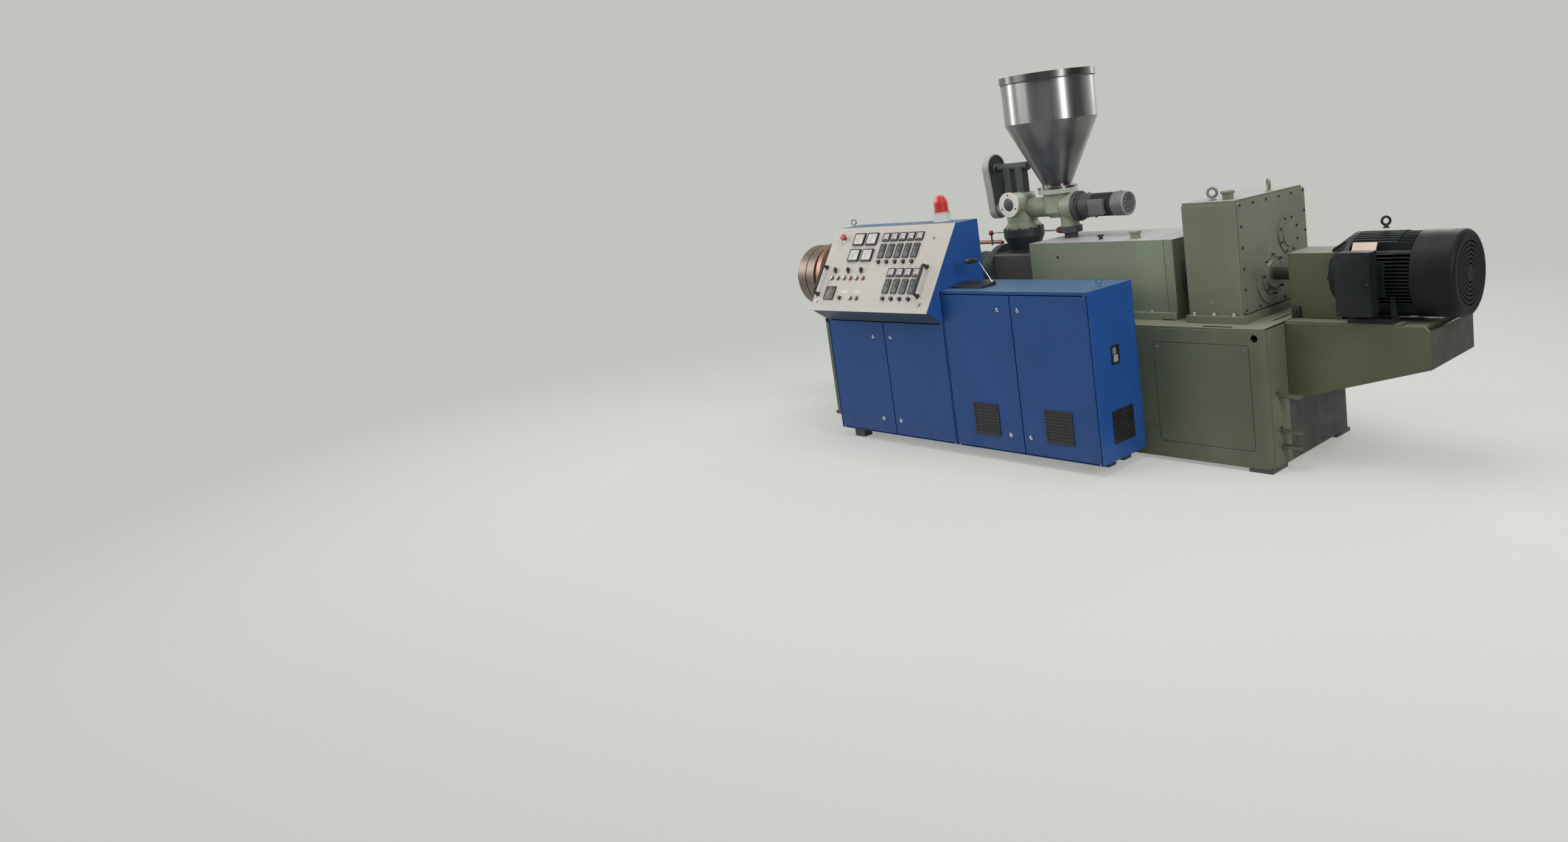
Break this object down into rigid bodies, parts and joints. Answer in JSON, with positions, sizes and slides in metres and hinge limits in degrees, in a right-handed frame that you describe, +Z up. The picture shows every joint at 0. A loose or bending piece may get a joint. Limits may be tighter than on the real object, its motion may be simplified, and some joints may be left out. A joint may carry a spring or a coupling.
{
  "type": "plastic extruder",
  "caption": "Conical twin-screw plastic extruder: barrel and pipe die, feed hopper, gearboxes and motor on a long base, with a low control cabinet and sloped desk in front.",
  "frame": {"origin": "centre of the bounding box's underside, on the floor", "axes": "+X along the machine from the die to the motor, +Y from the operator's side to the back, +Z up"},
  "size_m": [5.292, 1.4848, 2.33],
  "materials": {
    "machine_green": "satin sage green machine enamel",
    "dark_green": "dark green satin enamel",
    "gear_grey": "satin grey-green machine enamel",
    "dark_grey": "dark grey satin enamel on castings",
    "motor_black": "near-black satin enamel",
    "cowl_grey": "grey satin enamel",
    "rust_brown": "heat-tinted brown metal",
    "bare_steel": "machined bare steel",
    "stainless": "polished stainless sheet",
    "heater_shell": "cast aluminium heater shell",
    "cabinet_blue": "smooth semi-gloss blue powder coat",
    "panel_grey": "light grey satin panel",
    "galvanised": "zinc-plated sheet",
    "black_plastic": "black moulded plastic",
    "port_white": "off-white painted ring",
    "ball_red": "glossy red balls on a steel rod",
    "beacon_red": "red dome on a pale base"
  },
  "bodies": {
    "machine": {"base_frame": "machine_green", "base_pads": "dark_grey", "base_covers": "machine_green", "motor_bracket": "machine_green", "motor_housing": "motor_black", "fan_cowl": "cowl_grey", "cable_box": "motor_black", "coupling": "bare_steel", "coupling_guard": "machine_green", "gearbox_housing": "machine_green", "gearbox_end_cover": "gear_grey", "oil_fittings": "dark_green", "distribution_box": "machine_green", "shaft_bell": "dark_grey", "feed_block": "dark_grey", "slide_gate_rod": "ball_red", "feeder_casting": "machine_green", "feeder_port": "port_white", "feeder_foot": "dark_grey", "feeder_gearmotor": "dark_grey", "belt_guard": "dark_green", "agitator_drive": "dark_grey", "hopper_cylinder": "stainless", "hopper_cone": "stainless", "barrel": "dark_grey", "barrel_heaters": "heater_shell", "cooling_ducts": "galvanised", "cooling_pipe": "rust_brown", "die_adapter": "rust_brown", "die_body": "rust_brown", "die_heaters": "bare_steel", "cabinet_feet": "dark_grey", "cabinet_floor": "cabinet_blue", "cabinet_back": "cabinet_blue", "cabinet_sides": "cabinet_blue", "cabinet_tops": "cabinet_blue", "desk_underside": "cabinet_blue", "cabinet_posts": "cabinet_blue", "mounting_plates": "galvanised", "hinge_pins": "bare_steel", "desk_panel": "panel_grey", "panel_meters": "black_plastic", "panel_knobs": "black_plastic", "grab_handles": "black_plastic", "hand_lever": "black_plastic", "beacon": "beacon_red", "side_vent": "black_plastic"},
    "door_1_leaf": {"door_1": "cabinet_blue"},
    "door_2_leaf": {"door_2": "cabinet_blue"},
    "door_3_leaf": {"door_3": "cabinet_blue", "door_3_vent": "black_plastic"},
    "door_4_leaf": {"door_4": "cabinet_blue", "door_4_vent": "black_plastic"}
  },
  "joints": [
    {"name": "door_1_hinge", "type": "hinge", "parent": "machine", "child": "door_1_leaf", "pos_m": [-1.3445, -0.58961, 0.47], "axis": [0, 0, -1], "range_deg": [0, 115]},
    {"name": "door_2_hinge", "type": "hinge", "parent": "machine", "child": "door_2_leaf", "pos_m": [-0.226, -0.58961, 0.47], "axis": [0, 0, 1], "range_deg": [0, 90]},
    {"name": "door_3_hinge", "type": "hinge", "parent": "machine", "child": "door_3_leaf", "pos_m": [-0.186, -0.58961, 0.47], "axis": [0, 0, -1], "range_deg": [0, 90]},
    {"name": "door_4_hinge", "type": "hinge", "parent": "machine", "child": "door_4_leaf", "pos_m": [0.9325, -0.58961, 0.47], "axis": [0, 0, 1], "range_deg": [0, 115]}
  ]
}
